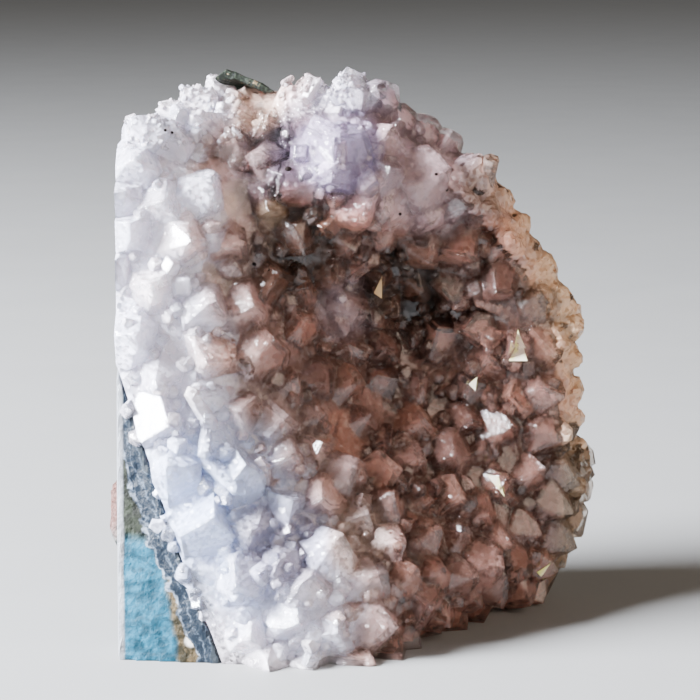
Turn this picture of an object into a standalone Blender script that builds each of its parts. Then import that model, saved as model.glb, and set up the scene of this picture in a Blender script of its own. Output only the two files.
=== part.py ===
"""Amethyst geode, sawn to stand on its flat base.

X runs to the right, Y away from the crystal side and Z up. Lengths are millimetres until
they go into a mesh, which is in metres.
"""

import math
import random

import bmesh
import bpy
import numpy as np
from mathutils import Matrix, Vector

MM = 0.001

# Sawn faces, and how far the blocks that the saw takes away reach past the stone
BASE_CUT_Z = 0.0
LEFT_CUT_X = -37.5
CUT_REACH = 130.0

# Middle of the bounding box before it is brought to the origin
MIDDLE_X = 0.77
MIDDLE_Y = 0.99

# Outline of the stone under the points, clockwise from the lower left: x, z, depth y.
# The left and lower runs lie outside the sawn faces.
OUTLINE = (
    (-42.0, -5.0, -23.0),
    (-42.0, 12.0, -21.0),
    (-42.0, 30.0, -20.0),
    (-42.0, 48.0, -18.0),
    (-42.0, 66.0, -16.0),
    (-41.0, 78.0, -14.0),
    (-36.0, 84.0, -11.0),
    (-32.0, 85.0, -6.0),
    (-28.0, 88.0, 0.0),
    (-22.0, 90.0, 5.0),
    (-15.0, 89.5, 6.0),
    (-9.0, 89.5, 2.0),
    (-3.0, 89.5, 0.0),
    (3.0, 88.0, 1.0),
    (8.0, 85.5, 4.0),
    (13.0, 82.5, 6.0),
    (18.0, 79.5, 7.0),
    (22.0, 76.0, 8.0),
    (25.5, 71.5, 9.0),
    (28.5, 67.0, 10.0),
    (31.5, 61.5, 11.0),
    (35.0, 56.5, 12.0),
    (37.8, 50.0, 12.5),
    (37.8, 43.0, 13.0),
    (37.6, 36.0, 13.0),
    (38.5, 28.0, 14.0),
    (39.5, 20.0, 14.5),
    (38.5, 12.0, 14.5),
    (36.5, 5.0, 14.0),
    (33.0, -5.0, 20.0),
    (27.0, -5.0, 15.0),
    (21.0, -5.0, 8.0),
    (15.0, -5.0, -1.0),
    (10.0, -5.0, -12.0),
    (5.0, -5.0, -20.0),
    (-2.0, -5.0, -24.5),
    (-10.0, -5.0, -25.0),
    (-20.0, -5.0, -25.0),
    (-30.0, -5.0, -24.0),
)

# Depth of the hollow side inside the outline: x, z, y
HOLLOW = (
    (8.0, 1.0, -17.0),
    (14.0, 1.0, -6.0),
    (20.0, 1.0, 3.0),
    (26.0, 1.0, 10.0),
    (31.0, 1.0, 16.0),
    (-2.0, 3.0, -24.5),
    (-14.0, 3.0, -25.5),
    (9.0, 7.0, -17.5),
    (16.0, 7.0, -11.0),
    (23.0, 7.0, -3.0),
    (30.0, 7.0, 5.0),
    (-28.0, 15.0, -24.0),
    (-20.0, 15.0, -24.5),
    (-10.0, 15.0, -23.5),
    (0.0, 15.0, -20.0),
    (8.0, 15.0, -14.0),
    (16.0, 15.0, -7.0),
    (24.0, 15.0, 0.0),
    (32.0, 15.0, 7.0),
    (-28.0, 30.0, -22.0),
    (-20.0, 30.0, -21.0),
    (-10.0, 30.0, -16.0),
    (0.0, 30.0, -8.0),
    (8.0, 30.0, 0.0),
    (16.0, 30.0, 4.0),
    (24.0, 30.0, 6.0),
    (32.0, 30.0, 9.0),
    (-28.0, 50.0, -18.0),
    (-20.0, 50.0, -15.0),
    (-10.0, 50.0, -6.0),
    (0.0, 50.0, 5.0),
    (8.0, 50.0, 12.0),
    (16.0, 50.0, 13.0),
    (24.0, 50.0, 9.0),
    (31.0, 50.0, 9.0),
    (-26.0, 62.0, -15.0),
    (-15.0, 62.0, -9.0),
    (-5.0, 62.0, -1.0),
    (5.0, 62.0, 5.0),
    (15.0, 62.0, 6.0),
    (24.0, 62.0, 7.0),
    (-28.0, 75.0, -13.0),
    (-20.0, 75.0, -9.0),
    (-12.0, 75.0, -6.0),
    (-5.0, 75.0, -8.0),
    (2.0, 75.0, -8.0),
    (8.0, 75.0, -5.0),
    (14.0, 75.0, 0.0),
)
SMOOTHING = 3.0

CENTRE = (0.0, 45.0)
FRONT_RINGS = (
    (1.0, 2.6),
    (0.97, 0.9),
    (0.90, 0.0),
    (0.83, 0.0),
    (0.72, 0.0),
    (0.60, 0.0),
    (0.45, 0.0),
    (0.30, 0.0),
    (0.15, 0.0),
)
SIDE_RINGS = ((1.0, 0.45), (0.98, 0.78))
BACK_RINGS = (0.93, 0.76, 0.55, 0.30)

# Rough outside: deepest y and its x, the height from which it curves in, how fast it falls
# off to each side and to the top, and the height and the waves per mm of its two swells
BACK_DEPTH = 31.0
BACK_MIDDLE_X = 2.0
BACK_CURVES_FROM = 42.0
BACK_FALL_X = 0.0062
BACK_FALL_Z = 0.0078
FIRST_SWELL = (1.1, 0.21, 1.3, 0.17)
SECOND_SWELL = (0.8, 0.36, 0.31)

# Layer that carries the points, measured along Y, and its distance from the rock
CRUST_DEPTH = 5.0
SEAM_GAP = 0.3

# Seam surface: lowest row, rows and their step, columns, its right end, and the part of the
# front from which its depth is read
SEAM_LOW_Z = -8.0
SEAM_ROWS = 19
SEAM_STEP = 6.2
SEAM_COLUMNS = 15
SEAM_RIGHT_X = 50.0
SEAM_X = (-42.0, 41.0)
SEAM_Z = (-4.0, 92.0)

# The seam leaves the front just beside the corner's edge: how far beside it on either side,
# and how far in front of the stone it then runs
CORNER_SIDES = (1.5, 2.5)
CORNER_FRONT = 12.0
CORNER_FAR = (-30.0, -60.0)
BEHIND_ALL = 70.0

# Lower left corner, where the rock comes out to the front: x of its edge at each z
CORNER_EDGE = ((-8.0, -20.0), (0.0, -22.0), (18.0, -29.0), (43.0, -37.5), (110.0, -60.0))

# Rough swelling behind the sawn left side: centre, half sizes, and its rough skin as shares
SWELLING = ((-36.2, 11.5, 17.0), (5.2, 9.0, 8.0))
SWELLING_SKIN = (0.82, 1.04)

# Flake of rock that stands above the crystals: corners of its front outline in x and z.
# Its back is smaller by these shares about the foot, and lower by FLAKE_DROP.
FLAKE = ((-22.4, 85.0), (-22.0, 90.4), (-20.6, 92.8), (-17.2, 92.0), (-14.0, 90.4), (-12.6, 85.0))
FLAKE_DEPTH = (11.8, 16.5)
FLAKE_FOOT = (-17.5, 85.0)
FLAKE_SHARES = (0.8, 0.45)
FLAKE_DROP = 1.0

# Points that stand out: x, z, width, height over the stone, lean right, lean up
LARGE_POINTS = (
    (-2.4, 80.0, 12.0, 7.0, 0.05, -0.10),
    (-8.6, 75.2, 9.8, 5.5, -0.25, -0.35),
    (-13.5, 72.5, 7.5, 4.0, -0.20, -0.45),
    (-19.5, 81.0, 7.0, 4.0, -0.10, 0.10),
    (-13.8, 83.5, 7.0, 3.5, 0.10, 0.20),
    (13.0, 76.0, 9.8, 4.5, 0.20, 0.00),
    (21.0, 75.5, 6.8, 3.8, 0.30, 0.20),
    (-0.8, 53.5, 9.4, 5.0, 0.15, -0.10),
    (15.3, 47.1, 9.4, 5.0, 0.00, 0.10),
    (21.6, 49.4, 6.2, 4.2, -0.10, 0.10),
    (24.3, 57.2, 7.8, 4.5, 0.00, 0.00),
    (25.4, 64.0, 7.6, 4.0, 0.10, 0.10),
    (-3.2, 17.5, 9.6, 4.6, 0.20, 0.30),
    (3.0, 12.5, 9.4, 4.4, 0.30, 0.10),
    (4.4, 5.6, 9.4, 4.2, 0.30, 0.00),
    (-1.0, 28.0, 8.2, 4.4, 0.20, 0.30),
    (-31.6, 60.0, 9.6, 3.6, -0.10, 0.10),
    (-24.0, 75.0, 8.2, 3.8, 0.00, 0.10),
    (-26.6, 67.0, 8.6, 3.8, 0.00, 0.00),
    (-19.0, 66.0, 8.6, 3.8, 0.20, 0.00),
    (28.2, 46.3, 5.4, 3.8, -0.20, 0.20),
    (20.3, 38.9, 5.4, 3.8, 0.00, 0.20),
    (24.6, 23.4, 5.6, 3.6, 0.00, 0.20),
    (32.6, 8.4, 5.6, 3.6, 0.10, 0.10),
)

# Tips that make the outline: x, z, y, width
OUTLINE_POINTS = (
    (-35.2, 86.6, -11.0, 7.0),
    (-31.0, 88.0, -3.0, 6.6),
    (-27.4, 90.4, 1.0, 6.4),
    (-22.6, 90.8, 5.0, 5.6),
    (-17.4, 90.4, 6.5, 5.6),
    (-11.0, 91.2, 2.0, 6.0),
    (-6.6, 91.8, 0.0, 6.6),
    (-1.4, 92.6, -2.0, 7.6),
    (4.8, 90.4, 1.0, 6.0),
    (8.4, 87.8, 3.0, 5.6),
    (12.8, 85.8, 5.0, 6.0),
    (17.2, 83.0, 6.0, 6.2),
    (21.6, 78.8, 7.0, 6.4),
    (26.0, 73.0, 9.0, 6.2),
    (28.6, 68.0, 10.0, 5.8),
    (31.8, 63.2, 10.5, 5.8),
    (35.0, 58.6, 11.5, 6.0),
    (38.0, 54.2, 12.0, 5.8),
    (39.8, 48.8, 12.5, 5.8),
    (39.2, 43.2, 13.0, 5.8),
    (38.8, 37.4, 13.0, 5.8),
    (39.4, 31.0, 14.0, 6.0),
    (40.8, 24.6, 14.0, 6.2),
    (41.0, 18.0, 14.5, 6.2),
    (40.0, 11.8, 14.5, 6.0),
    (37.2, 6.8, 13.0, 5.6),
)
TIP_FROM_FOOT = 5.5
SUNK = 2.8

# How far the points on the outline lean along x and z, and forwards
OUTLINE_LEAN = (-0.35, 0.35)
OUTLINE_LEAN_Y = (-1.3, -0.5)

# Points that fill the rest: where they are tried, how far from the rock corner and the
# outline they keep, and their widths and heights as shares
FILL_SPACING = 6.0
FILL_TRIES = 9000
FILL_SEED = 11
FILL_X = (-40.0, 41.0)
FILL_Z = (-2.0, 91.0)
FILL_SHARE = 0.97
FILL_FROM_CORNER = 5.0
FILL_WIDTHS = (1.1, 1.45)
FILL_HEIGHTS = (0.34, 0.55)
FILL_LEAN = (-0.4, 0.4)
FILL_LEAN_Y = (-0.3, 0.1)

# Two points keep apart by this share of the spacing and this share of the other's width
SPACING_SHARE = 0.5
WIDTH_SHARE = 0.4

# The left side below its top has wider points
WIDER_LEFT_OF = -12.0
WIDER_BELOW = 60.0
WIDER_SPACING = 1.18

# Near the outline the points turn outwards, but not at the left and at the foot
TURNS_FROM_SHARE = 0.75
TURN = 0.7
NO_TURN_LEFT_OF = -34.0
NO_TURN_BELOW = 8.0

# Share of the points whose tip has three faces. The others have three large faces and three
# small ones, which stand off the tip by these shares of the width.
THREE_FACED = 0.2
LARGE_FACES = (0.0, 0.05)
SMALL_FACES = (0.05, 0.16)
NO_FACE = 1.0
FLATTENING = (0.85, 1.15)

# A quartz tip face stands at this angle to the long axis
TIP_ANGLE = math.radians(38.2)

# Corners of a point that lie closer than this to a tip face's plane count as on it
ON_PLANE = 1e-5

AMETHYST_COLOUR = (0.62, 0.52, 0.62)
AMETHYST_ROUGHNESS = 0.25
ROCK_COLOUR = (0.30, 0.42, 0.44)
ROCK_ROUGHNESS = 0.75


def depth_field(samples):
    """A smooth y over x and z that passes through the samples."""
    where = np.array([(x, z) for x, z, _ in samples])
    count = len(samples)
    apart = np.linalg.norm(where[:, None] - where[None], axis=2)
    system = np.zeros((count + 3, count + 3))
    system[:count, :count] = np.sqrt(apart**2 + SMOOTHING**2)
    system[:count, count] = 1.0
    system[:count, count + 1 :] = where
    system[count:, :count] = system[:count, count:].T
    wanted = np.zeros(count + 3)
    wanted[:count] = [y for _, _, y in samples]
    weight = np.linalg.solve(system, wanted)

    def depth(x, z):
        reach = np.sqrt((where[:, 0] - x) ** 2 + (where[:, 1] - z) ** 2 + SMOOTHING**2)
        return float(reach @ weight[:count] + weight[count] + weight[count + 1] * x + weight[count + 2] * z)

    return depth


front_y = depth_field(OUTLINE + HOLLOW)


def back_y(x, z):
    """The rough outside of the geode, behind the crystals."""
    rise = max(0.0, z - BACK_CURVES_FROM)
    high, across, shift, up = FIRST_SWELL
    swell = high * math.sin(across * x + shift) * math.cos(up * z)
    high, across, up = SECOND_SWELL
    swell += high * math.sin(across * x - up * z)
    return BACK_DEPTH - BACK_FALL_X * (x - BACK_MIDDLE_X) ** 2 - BACK_FALL_Z * rise**2 + swell


def front_normal(x, z):
    """Points out of the hollow side, towards the viewer."""
    step = 1.0
    slope_x = (front_y(x + step, z) - front_y(x - step, z)) / (2 * step)
    slope_z = (front_y(x, z + step) - front_y(x, z - step)) / (2 * step)
    return Vector((slope_x, -1.0, slope_z)).normalized()


def share_of_outline(x, z):
    """0 at the centre and 1 on the outline."""
    out_x = x - CENTRE[0]
    out_z = z - CENTRE[1]
    for (ax, az, _), (bx, bz, _) in zip(OUTLINE, OUTLINE[1:] + OUTLINE[:1]):
        ax, az, bx, bz = ax - CENTRE[0], az - CENTRE[1], bx - CENTRE[0], bz - CENTRE[1]
        span = ax * bz - az * bx
        along_a = (out_x * bz - out_z * bx) / span
        along_b = (ax * out_z - az * out_x) / span
        if along_a >= 0 and along_b >= 0:
            return along_a + along_b
    return 0.0


def corner_edge(z):
    """Right edge of the rock in the lower left corner."""
    return float(np.interp(z, [at for at, _ in CORNER_EDGE], [edge for _, edge in CORNER_EDGE]))


def mesh_object(name, points, faces):
    mesh = bpy.data.meshes.new(name)
    mesh.from_pydata([tuple(c * MM for c in point) for point in points], [], faces)
    made = bpy.data.objects.new(name, mesh)
    bpy.context.scene.collection.objects.link(made)
    form = bmesh.new()
    form.from_mesh(mesh)
    bmesh.ops.recalc_face_normals(form, faces=form.faces)
    form.to_mesh(mesh)
    form.free()
    return made


def stock(name):
    """The whole stone without points: rings from the middle of the front round to the back."""
    rings = []
    for share, recess in FRONT_RINGS:
        rings.append([])
        for x, z, _ in OUTLINE:
            at_x = CENTRE[0] + share * (x - CENTRE[0])
            at_z = CENTRE[1] + share * (z - CENTRE[1])
            rings[-1].append((at_x, front_y(at_x, at_z) + recess, at_z))
    rings.reverse()
    for share, towards_back in SIDE_RINGS:
        rings.append([])
        for x, z, _ in OUTLINE:
            at_x = CENTRE[0] + share * (x - CENTRE[0])
            at_z = CENTRE[1] + share * (z - CENTRE[1])
            front = front_y(x, z)
            rings[-1].append((at_x, front + towards_back * (back_y(at_x, at_z) - front), at_z))
    for share in BACK_RINGS:
        rings.append([])
        for x, z, _ in OUTLINE:
            at_x = CENTRE[0] + share * (x - CENTRE[0])
            at_z = CENTRE[1] + share * (z - CENTRE[1])
            rings[-1].append((at_x, back_y(at_x, at_z), at_z))
    count = len(OUTLINE)
    points = [point for ring in rings for point in ring]
    faces = []
    for row in range(len(rings) - 1):
        for col in range(count):
            after = (col + 1) % count
            near, far = row * count, (row + 1) * count
            faces.append((near + col, near + after, far + after, far + col))
    points.append((CENTRE[0], front_y(*CENTRE), CENTRE[1]))
    points.append((CENTRE[0], back_y(*CENTRE), CENTRE[1]))
    last = (len(rings) - 1) * count
    for col in range(count):
        after = (col + 1) % count
        faces.append((after, col, len(points) - 2))
        faces.append((last + col, last + after, len(points) - 1))
    return mesh_object(name, points, faces)


def rock_side(name, gap):
    """Everything behind the seam between rock and crust, as a cutter."""
    heights = [SEAM_LOW_Z + SEAM_STEP * row for row in range(SEAM_ROWS)]
    far_x, far_y = CORNER_FAR
    rows = []
    for z in heights:
        edge = corner_edge(z)
        beside = edge - CORNER_SIDES[0]
        row = [(edge + far_x, far_y, z), (beside, front_y(max(beside, SEAM_X[0]), z) - CORNER_FRONT, z)]
        first = edge + CORNER_SIDES[1]
        for col in range(SEAM_COLUMNS):
            x = first + (SEAM_RIGHT_X - first) * col / (SEAM_COLUMNS - 1)
            inside_x = min(max(x, SEAM_X[0]), SEAM_X[1])
            inside_z = min(max(z, SEAM_Z[0]), SEAM_Z[1])
            row.append((x, front_y(inside_x, inside_z) + CRUST_DEPTH, z))
        rows.append(row)
    width = len(rows[0])
    points = [point for row in rows for point in row]
    if gap:
        points = lifted(points, width, gap)
    faces = []
    for row in range(len(rows) - 1):
        for col in range(width - 1):
            at = row * width + col
            faces.append((at, at + 1, at + width + 1))
            faces.append((at, at + width + 1, at + width))
    seam = len(points)
    points += [(x, BEHIND_ALL, z) for x, _, z in points]
    for row in range(len(rows) - 1):
        for col in range(width - 1):
            at = seam + row * width + col
            faces.append((at, at + width, at + width + 1, at + 1))
    border = list(range(width))
    border += [row * width + width - 1 for row in range(1, len(rows))]
    border += [(len(rows) - 1) * width + col for col in range(width - 2, -1, -1)]
    border += [row * width for row in range(len(rows) - 2, 0, -1)]
    for at, after in zip(border, border[1:] + border[:1]):
        faces.append((at, at + seam, after + seam, after))
    return mesh_object(name, points, faces)


def lifted(points, width, gap):
    """The seam moved towards the viewer along its own normals."""
    grid = np.array(points).reshape(-1, width, 3)
    along_x = np.gradient(grid, axis=1)
    along_z = np.gradient(grid, axis=0)
    normal = np.cross(along_x, along_z)
    normal /= np.linalg.norm(normal, axis=2, keepdims=True)
    normal[normal[:, :, 1] > 0] *= -1
    return [tuple(point) for point in (grid + gap * normal).reshape(-1, 3)]


def point_solid(foot, axis, width, length, spin, uneven):
    """A six-sided quartz point, with three tip faces or three large and three small ones."""
    form = bmesh.new()
    radius = width / math.sqrt(3)
    bmesh.ops.create_cone(form, cap_ends=True, segments=6, radius1=radius, radius2=radius, depth=2 * length)
    bmesh.ops.translate(form, verts=form.verts, vec=(0, 0, length))
    for side in range(6):
        turn = math.radians(60 * side)
        up = math.sin(TIP_ANGLE)
        out = math.cos(TIP_ANGLE)
        normal = Vector((out * math.cos(turn), out * math.sin(turn), up))
        through = Vector((0, 0, length)) + normal * uneven[side] * width
        whole = form.verts[:] + form.edges[:] + form.faces[:]
        bmesh.ops.bisect_plane(
            form, geom=whole, plane_co=through, plane_no=normal, clear_outer=True, dist=ON_PLANE
        )
        rim = [edge for edge in form.edges if edge.is_boundary]
        if rim:
            bmesh.ops.contextual_create(form, geom=rim)
    squash = Matrix.Diagonal((1.0, uneven[6], 1.0, 1.0))
    aim = axis.to_track_quat("Z", "Y").to_matrix().to_4x4() @ Matrix.Rotation(spin, 4, "Z") @ squash
    bmesh.ops.transform(form, matrix=Matrix.Translation(foot) @ aim, verts=form.verts)
    form.verts.ensure_lookup_table()
    points = [tuple(vert.co) for vert in form.verts]
    faces = [tuple(vert.index for vert in face.verts) for face in form.faces]
    form.free()
    return points, faces


def unevenness(rng):
    """How far each tip face stands off the tip, as a share of the width, then the flattening."""
    large = [rng.uniform(*LARGE_FACES) for _ in range(3)]
    three_faced = rng.random() < THREE_FACED
    small = [NO_FACE if three_faced else rng.uniform(*SMALL_FACES) for _ in range(3)]
    mixed = [value for pair in zip(large, small) for value in pair]
    return mixed + [rng.uniform(*FLATTENING)]


def outward(x, z):
    """Away from the centre of the outline, in the plane of the outline."""
    return Vector((x - CENTRE[0], 0.0, z - CENTRE[1])).normalized()


def placed_points():
    """Foot, axis, width and length of every point, the large ones first."""
    rng = random.Random(FILL_SEED)
    placed = []
    for x, z, width, height, lean_x, lean_z in LARGE_POINTS:
        axis = (front_normal(x, z) + Vector((lean_x, 0.0, lean_z))).normalized()
        on_stone = Vector((x, front_y(x, z), z))
        placed.append((on_stone - SUNK * axis, axis, width, height + SUNK))
    for x, z, y, width in OUTLINE_POINTS:
        lean = Vector((rng.uniform(*OUTLINE_LEAN), rng.uniform(*OUTLINE_LEAN_Y), rng.uniform(*OUTLINE_LEAN)))
        axis = (outward(x, z) + lean).normalized()
        tip = Vector((x, y, z))
        placed.append((tip - TIP_FROM_FOOT * axis, axis, width, TIP_FROM_FOOT))
    taken = [foot + SUNK * axis for foot, axis, _, _ in placed]
    reach = [width for _, _, width, _ in placed]
    for _ in range(FILL_TRIES):
        x = rng.uniform(*FILL_X)
        z = rng.uniform(*FILL_Z)
        share = share_of_outline(x, z)
        if share > FILL_SHARE or x < corner_edge(z) + FILL_FROM_CORNER:
            continue
        on_stone = Vector((x, front_y(x, z), z))
        spacing = FILL_SPACING
        if x < WIDER_LEFT_OF and z < WIDER_BELOW:
            spacing *= WIDER_SPACING
        room = SPACING_SHARE * spacing
        if any((on_stone - other).length < room + WIDTH_SHARE * wide for other, wide in zip(taken, reach)):
            continue
        width = spacing * rng.uniform(*FILL_WIDTHS)
        outer = 0.0
        if x > NO_TURN_LEFT_OF and z > NO_TURN_BELOW:
            outer = max(0.0, share - TURNS_FROM_SHARE) / (1.0 - TURNS_FROM_SHARE)
        lean = Vector((rng.uniform(*FILL_LEAN), rng.uniform(*FILL_LEAN_Y), rng.uniform(*FILL_LEAN)))
        axis = (front_normal(x, z) + TURN * outer * outward(x, z) + lean).normalized()
        height = width * rng.uniform(*FILL_HEIGHTS)
        placed.append((on_stone - SUNK * axis, axis, width, height + SUNK))
        taken.append(on_stone)
        reach.append(spacing)
    return placed


def points_object(name):
    rng = random.Random(FILL_SEED + 1)
    points = []
    faces = []
    for foot, axis, width, length in placed_points():
        more, more_faces = point_solid(foot, axis, width, length, rng.uniform(0, math.pi), unevenness(rng))
        faces += [tuple(index + len(points) for index in face) for face in more_faces]
        points += more
    return mesh_object(name, points, faces)


def block(name, low, high):
    corners = [(x, y, z) for x in (low[0], high[0]) for y in (low[1], high[1]) for z in (low[2], high[2])]
    sides = [(0, 1, 3, 2), (4, 6, 7, 5), (0, 4, 5, 1), (2, 3, 7, 6), (0, 2, 6, 4), (1, 5, 7, 3)]
    return mesh_object(name, corners, sides)


def swelling(name):
    centre, half = SWELLING
    form = bmesh.new()
    bmesh.ops.create_icosphere(form, subdivisions=2, radius=1.0)
    rng = random.Random(FILL_SEED)
    points = []
    for vert in form.verts:
        grow = rng.uniform(*SWELLING_SKIN)
        points.append(tuple(centre[axis] + half[axis] * grow * vert.co[axis] for axis in range(3)))
    faces = [tuple(vert.index for vert in face.verts) for face in form.faces]
    form.free()
    return mesh_object(name, points, faces)


def flake(name):
    front, back = FLAKE_DEPTH
    count = len(FLAKE)
    foot_x, foot_z = FLAKE_FOOT
    share_x, share_z = FLAKE_SHARES
    points = [(x, front, z) for x, z in FLAKE]
    for x, z in FLAKE:
        points.append((foot_x + share_x * (x - foot_x), back, foot_z + share_z * (z - foot_z) - FLAKE_DROP))
    faces = [tuple(range(count)), tuple(range(2 * count - 1, count - 1, -1))]
    for at in range(count):
        after = (at + 1) % count
        faces.append((at, at + count, after + count, after))
    return mesh_object(name, points, faces)


def combine(target, other, operation, solver="MANIFOLD"):
    """Join or cut with another object and drop it. Points that cross each other need EXACT."""
    step = target.modifiers.new(operation, "BOOLEAN")
    step.operation = operation
    step.solver = solver
    if solver == "EXACT":
        step.use_self = True
    step.object = other
    graph = bpy.context.evaluated_depsgraph_get()
    result = bpy.data.meshes.new_from_object(target.evaluated_get(graph))
    target.modifiers.clear()
    target.data = result
    bpy.data.objects.remove(other)


def outer_shell(target):
    """Keep the largest connected surface, without closed pockets and crumbs."""
    form = bmesh.new()
    form.from_mesh(target.data)
    left = set(form.verts)
    shells = []
    while left:
        shell = {left.pop()}
        border = list(shell)
        while border:
            for edge in border.pop().link_edges:
                for vert in edge.verts:
                    if vert in left:
                        left.remove(vert)
                        shell.add(vert)
                        border.append(vert)
        shells.append(shell)
    shells.sort(key=len)
    crumbs = [vert for shell in shells[:-1] for vert in shell]
    bmesh.ops.delete(form, geom=crumbs, context="VERTS")
    bmesh.ops.triangulate(form, faces=form.faces)
    form.to_mesh(target.data)
    form.free()


def saw_left_side(target):
    far = CUT_REACH
    combine(target, block("beside", (-far, -far, -far), (LEFT_CUT_X, far, far)), "DIFFERENCE")


def saw_base(target):
    far = CUT_REACH
    combine(target, block("under", (-far, -far, -far), (far, far, BASE_CUT_Z)), "DIFFERENCE")


def coloured(target, name, colour, roughness):
    material = bpy.data.materials.new(name)
    material.use_nodes = True
    shader = material.node_tree.nodes["Principled BSDF"]
    shader.inputs["Base Color"].default_value = (*colour, 1.0)
    shader.inputs["Roughness"].default_value = roughness
    target.data.materials.clear()
    target.data.materials.append(material)


def main():
    for old in list(bpy.data.objects):
        bpy.data.objects.remove(old)
    crust = stock("crystal_crust")
    combine(crust, points_object("points"), "UNION", "EXACT")
    combine(crust, rock_side("behind_crust", SEAM_GAP), "DIFFERENCE")
    saw_left_side(crust)
    saw_base(crust)
    outer_shell(crust)
    rock = stock("rock_matrix")
    combine(rock, rock_side("behind_seam", 0.0), "INTERSECT")
    saw_left_side(rock)
    combine(rock, swelling("swelling"), "UNION")
    combine(rock, flake("flake"), "UNION")
    saw_base(rock)
    outer_shell(rock)
    coloured(crust, "amethyst", AMETHYST_COLOUR, AMETHYST_ROUGHNESS)
    coloured(rock, "host_rock", ROCK_COLOUR, ROCK_ROUGHNESS)
    for piece in (crust, rock):
        for vert in piece.data.vertices:
            vert.co.x -= MIDDLE_X * MM
            vert.co.y -= MIDDLE_Y * MM


main()
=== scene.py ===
"""Looks of the amethyst geode: glassy points over milky quartz, on blue-green host rock.

Metres, X to the right, Y away from the crystal side and Z up. MM turns millimetres to metres.
"""

import math
import random

import bmesh
import bpy
import numpy as np
from mathutils import Matrix, Vector
from mathutils.bvhtree import BVHTree


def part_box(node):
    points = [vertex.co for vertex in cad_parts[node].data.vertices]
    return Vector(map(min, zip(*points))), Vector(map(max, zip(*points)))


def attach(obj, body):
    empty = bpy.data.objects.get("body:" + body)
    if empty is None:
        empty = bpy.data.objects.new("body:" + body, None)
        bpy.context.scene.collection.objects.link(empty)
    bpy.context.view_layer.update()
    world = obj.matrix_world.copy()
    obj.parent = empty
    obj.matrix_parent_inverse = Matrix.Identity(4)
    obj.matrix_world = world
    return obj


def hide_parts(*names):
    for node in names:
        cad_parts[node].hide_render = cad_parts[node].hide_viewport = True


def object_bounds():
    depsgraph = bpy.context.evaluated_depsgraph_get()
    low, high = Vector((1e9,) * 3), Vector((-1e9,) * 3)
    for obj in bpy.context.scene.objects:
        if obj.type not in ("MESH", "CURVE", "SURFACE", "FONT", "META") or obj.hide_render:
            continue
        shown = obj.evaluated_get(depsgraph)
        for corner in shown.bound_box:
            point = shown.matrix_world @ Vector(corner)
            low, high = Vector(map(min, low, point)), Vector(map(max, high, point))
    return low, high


MM = 0.001

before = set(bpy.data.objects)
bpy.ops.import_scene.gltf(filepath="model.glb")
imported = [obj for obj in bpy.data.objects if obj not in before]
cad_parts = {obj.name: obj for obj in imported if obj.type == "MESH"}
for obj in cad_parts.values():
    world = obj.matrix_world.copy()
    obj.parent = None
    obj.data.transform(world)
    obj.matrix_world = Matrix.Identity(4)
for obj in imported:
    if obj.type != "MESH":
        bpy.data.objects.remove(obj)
cad_low, cad_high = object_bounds()

# Plane of the sawn left face, as the solids have it. The sawn base is at z = 0.
SAWN_LEFT_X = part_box("crystal_crust")[0].x

# View of the photograph
VIEW_TARGET = Vector((-0.77, -0.99, 47.0)) * MM
VIEW_DISTANCE = 480.0 * MM
VIEW_ELEVATION = math.radians(9.5)
VIEW_BACK = Vector((0, -math.cos(VIEW_ELEVATION), math.sin(VIEW_ELEVATION)))
VIEW_FROM = VIEW_TARGET + VIEW_DISTANCE * VIEW_BACK
LENS = 148.1
SENSOR_WIDTH = 36.0

# Lights: place, width, power and colour. The window stands to the left, as in the photo.
LIGHTS = {
    "window": ((-0.84, -0.30, 0.45), 0.5, 220.0, (0.90, 0.93, 1.0)),
    "fill": ((0.7, -0.6, 0.5), 0.9, 8.0, (1.0, 0.82, 0.68)),
}
WORLD_COLOUR = (0.90, 0.82, 0.70, 1.0)
WORLD_STRENGTH = 0.17
FLOOR_WIDTH = 8.0

# A quartz tip face stands at this angle to the long axis
TIP_ANGLE = math.radians(38.2)

# Small points are copies of a few kinds that are 1 mm wide. A kind has three large tip faces and
# three small ones or none, which stand off the tip by these shares of the width.
POINT_KINDS = 9
POINT_LENGTH = 1.6
TIP_HEIGHT = 0.95 * POINT_LENGTH
THREE_FACED = 0.2
LARGE_FACES = (0.0, 0.06)
SMALL_FACES = (0.05, 0.18)
NO_FACE = 1.0

# Each copy is made broader and shorter by shares between these
FLATTENING = (0.85, 1.15)
SHORTENING = (0.7, 1.0)

# No small point grows on faces that look backwards, or this near to a saw cut in millimetres
FACES_BACK = 0.15
OFF_THE_SAW = 0.6

# Centre of the largest point, which has a frosted face, as x and z in millimetres
FROSTED_POINT = (-2.6, 81.0)

# Points over the edge of the rock: their number, range of z, widths, and where they reach past the
# edge or stay back from it, as z, how far and over what breadth
CORNER_POINTS = 34
CORNER_Z = (1.0, 43.0)
CORNER_WIDTHS = (2.0, 3.4)
CORNER_REACHES = ((24.5, 2.4, 2.2), (30.0, -1.2, 3.5))

# Edge of the rock in the lower left corner: z and x in millimetres
CORNER_EDGE = ((0.0, -22.5), (18.0, -29.5), (43.0, -38.0))

# Faces that meet in a valley deeper than this angle belong to two crystals
VALLEY = -0.03

# Right rim, where cloudy quartz stands out between the points: x and z in millimetres
RIM_LINE = ((20.0, 75.0), (27.0, 67.5), (33.0, 60.0), (37.5, 52.0), (39.0, 44.0), (39.0, 31.0))
RIM_WIDTH = (2.6, 6.0)

# Cloudy quartz, in millimetres: how deep it lies, its least cover, and how it stands out on the rim
CORE_DEPTH = 1.2
CORE_COVER = 0.35
RIM_RISE = 2.0
RIM_GRAINS = (3.5, 0.5)

# Natural skin of the rock, in millimetres: the size and height of its lumps, grit and pits, and how
# deep it lies inside the solid
LUMPS = (9.0, 0.9)
GRIT = (2.2, 0.35)
PITS = (4.0, 1.6)
SKIN_DEPTH = 0.9
SWELLING_GRIT = 0.5

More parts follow.
